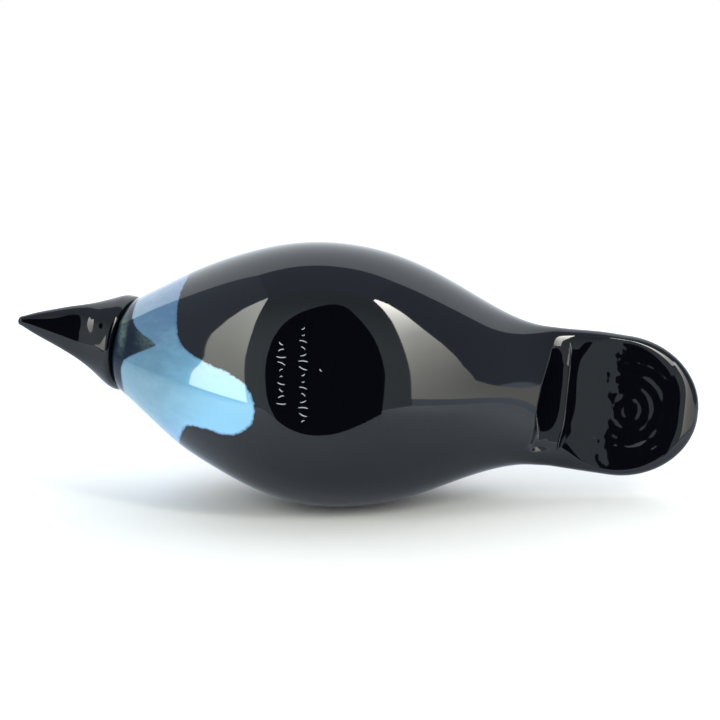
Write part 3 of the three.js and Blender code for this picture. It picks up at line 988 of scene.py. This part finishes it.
# How bright the side walls are, by the heights at their front and back ends; the floor's paper
# curves up at their foot, and a thin dark seam runs above it on the left
LEFT_GLOWS = (
    (-60, -60, 0.95), (-46, -32, 0.95), (-45.6, -31.6, 0.35), (-44.6, -30.6, 0.35), (-44, -30, 0.6),
    (0, 0, 0.6), (90, 90, 0.6), (183, 183, 0.6), (400, 400, 0.6), (CEILING, CEILING, 0.6),
)
RIGHT_GLOWS = (
    (-60, -60, 1.15), (-31, -31, 1.15), (-29, -29, 0.42), (50, 50, 0.42), (152, 152, 0.43),
    (373, 373, 0.44), (CEILING, CEILING, 0.45),
)
# How bright the front wall is by height, at its left and right ends, and the ceiling all over
FRONT_GLOWS = ((-60, 0.95, 0.65), (120, 0.9, 0.7), (400, 0.5, 0.45), (CEILING, 0.5, 0.45))
CEILING_GLOW = 0.5
WALL_COLOUR = (0.86, 1.0, 1.22)
FRONT_COLOUR = (0.86, 1.0, 1.06)
LEFT_PANEL_COLOUR = (1.0, 1.02, 0.94)
RIGHT_PANEL_COLOUR = (1.0, 1.0, 0.93)
# The dark opening in the front wall, where the camera looks in: for each height its two sides
OPENING = (
    (-140, -88, 216), (-44, -86, 216), (0, -80, 223), (39, -61, 227), (64, -64, 222), (98, -72, 210),
    (148, -64, 195), (212, -38, 182), (275, -5, 168), (340, 30, 148), (365, 62, 128), (374, 90, 105),
)
# Where the floor's paper ends inside the opening: the place across, and how far in front
PAPER_EDGE = ((-88, -244), (-40, -186), (0, -150), (52, -128), (87, -128), (166, -183), (216, -244))


def side_of(wall, up):
    """How far to the side a leaning wall is at a height."""
    return float(np.interp(up, *zip(*wall)))


def wall_rows(wall, glows):
    """A side wall's rows from its foot up, each with how bright the wall is there."""
    return [((side_of(wall, near), near, FRONT), (side_of(wall, far), far, BACK), glow, glow)
            for near, far, glow in glows]


def panel_rows(wall, inward, panel):
    """A bright panel's rows, just inside its wall."""
    return [((side_of(wall, near) + inward, near, FRONT), (side_of(wall, far) + inward, far, back),
             near_glow, far_glow) for near, far, back, near_glow, far_glow in panel]


def front_rows():
    """The front wall's rows, which reach from one side wall to the other."""
    return [((side_of(LEFT_WALL, up), up, FRONT), (side_of(RIGHT_WALL, up), up, FRONT), left, right)
            for up, left, right in FRONT_GLOWS]


def make_tent():
    """The tent's walls, its two bright side panels, and the dark opening for the camera."""
    wall = glowing("tent_wall", WALL_COLOUR)
    ring = glowing("tent_front", FRONT_COLOUR)
    left_lamp = glowing("tent_left_panel", LEFT_PANEL_COLOUR)
    right_lamp = glowing("tent_right_panel", RIGHT_PANEL_COLOUR)
    hole = matt("tent_opening", (0, 0, 0))
    front = front_rows()
    (left, _, _), (right, _, _) = front[-1][:2]
    card("ceiling", [((left, CEILING, depth), (right, CEILING, depth), CEILING_GLOW, CEILING_GLOW)
                     for depth in (FRONT, BACK)], wall)
    card("front_wall", front, ring)
    card("left_wall", wall_rows(LEFT_WALL, LEFT_GLOWS), wall)
    card("right_wall", wall_rows(RIGHT_WALL, RIGHT_GLOWS), wall)
    card("left_panel", panel_rows(LEFT_WALL, PANEL_OFF_WALL, LEFT_PANEL), left_lamp)
    card("right_panel", panel_rows(RIGHT_WALL, -PANEL_OFF_WALL, RIGHT_PANEL), right_lamp)
    near = FRONT + PANEL_OFF_WALL
    card("opening", [((left, up, near), (right, up, near), 0, 0) for up, left, right in OPENING], hole)
    low = TABLE - PAPER_UNDER_TABLE
    card("paper_end", [((across, low, FRONT), (across, low, edge), 0, 0)
                       for across, edge in PAPER_EDGE], hole)


# The floors' papers: the colour of those that show, and how far from the bird, in metres, they
# fade out; and the colour and painted light of those that the glass mirrors
FLOOR_WHITE = (0.98, 0.95, 0.91)
REFLECTED_WHITE = (0.72, 0.76, 0.82)
REFLECTED_PAINTED_LIGHT = (0.94, 1.0, 1.08)
PAPER_FADES = 0.30
PAPER_ENDS = 0.75
FAR = 900
STAND_SIZE = 1.0
STAND_BELOW = 0.0002
# The floor that the glass mirrors glows as painted light, more to both sides and least under the
# bird, which is a painted shadow there: the place across against the glow
TABLE_PAINTED_LIGHT = (
    (-FAR, 0.28), (-120, 0.28), (0, 0.12), (60, 0.04), (150, 0.12), (260, 0.45), (FAR, 0.5),
)


def paper_with_painted_light(name):
    """Matt paper with painted light: it also glows, as its card says."""
    material, nodes = new_material(name)
    both = nodes.tree.nodes.new("ShaderNodeAddShader")
    nodes.feed(both.inputs[0], matt_shader(nodes, REFLECTED_WHITE))
    nodes.feed(both.inputs[1], glow_shader(nodes, REFLECTED_PAINTED_LIGHT))
    surface(nodes, both.outputs[0])
    return material


def paper(name):
    """White paper that shows from its front alone and fades out far from the bird."""
    material, nodes = new_material(name)
    where = nodes.tree.nodes.new("ShaderNodeTexCoord").outputs["Object"]
    behind = nodes.tree.nodes.new("ShaderNodeNewGeometry").outputs["Backfacing"]
    length = nodes.tree.nodes.new("ShaderNodeVectorMath")
    length.operation = "LENGTH"
    nodes.feed(length.inputs[0], where)
    near = nodes.rise(length.outputs["Value"], PAPER_ENDS, PAPER_FADES)
    white = matt_shader(nodes, FLOOR_WHITE)
    clear = nodes.tree.nodes.new("ShaderNodeBsdfTransparent").outputs[0]
    shown = nodes.math("MULTIPLY", near, nodes.math("SUBTRACT", 1.0, behind))
    surface(nodes, nodes.mix_shader(shown, clear, white))
    return material


def table_rows(up, front):
    """The rows of a floor on one level, from its front edge to far behind the bird."""
    return [((-FAR, up, depth), (FAR, up, depth), 0, 0) for depth in (front, FAR)]


def make_floors():
    """The floor under the bird, for views from above, and the one beside it that the camera sees,
    with the strips of paper that the glass mirrors in its place, which glow as painted light."""
    bm = bmesh.new()
    bmesh.ops.create_grid(bm, x_segments=1, y_segments=1, size=STAND_SIZE)
    bmesh.ops.translate(bm, verts=bm.verts, vec=(0, 0, -STAND_BELOW))
    stand = add_object(bm, "stand_floor", paper("stand_paper"))
    table = card("table_floor", table_rows(TABLE, -FAR), paper("table_paper"))
    table.visible_camera = True
    for obj in (stand, table):
        obj.visible_diffuse = False
        obj.visible_glossy = False
        obj.visible_transmission = False
        obj.visible_shadow = False
    white = paper_with_painted_light("table_white_painted_light")
    low = TABLE - GLASS_TABLE_UNDER
    # Strips whose glow is painted light, and painted shadow under the bird
    for i, ((left, left_glow), (right, right_glow)) in enumerate(zip(TABLE_PAINTED_LIGHT, TABLE_PAINTED_LIGHT[1:])):
        rows = [((left, low, depth), (right, low, depth), left_glow, right_glow)
                for depth in (FRONT, FAR)]
        strip = card(f"table_in_the_glass_{i + 1}", rows, white)
        strip.visible_diffuse = False
        strip.visible_shadow = False


# The light from behind the tent, which the camera sees as plain white
BACK_LIGHT = (0.90, 0.97, 1.04, 1)
BACK_STRENGTH = 1.9
WHITE = (1, 1, 1, 1)


def make_world():
    world = bpy.data.worlds.new("studio")
    bpy.context.scene.world = world
    world.use_nodes = True
    nodes = Nodes(world.node_tree)
    backdrop = nodes.tree.nodes.new("ShaderNodeBackground")
    backdrop.inputs["Color"].default_value = WHITE
    light = nodes.tree.nodes.new("ShaderNodeBackground")
    light.inputs["Color"].default_value = BACK_LIGHT
    light.inputs["Strength"].default_value = BACK_STRENGTH
    seen = nodes.tree.nodes.new("ShaderNodeLightPath").outputs["Is Camera Ray"]
    out = nodes.tree.nodes.new("ShaderNodeOutputWorld")
    nodes.tree.links.new(nodes.mix_shader(seen, light.outputs[0], backdrop.outputs[0]), out.inputs[0])


body = make_body(body_material())
head = make_head(head_material())
strokes = make_strokes(body, stroke_material())
for piece in (body, head, strokes):
    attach(piece, "root")
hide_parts("body")
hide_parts("head")

make_camera()
make_tent()
make_floors()
make_world()
bpy.context.scene.view_settings.view_transform = "Standard"
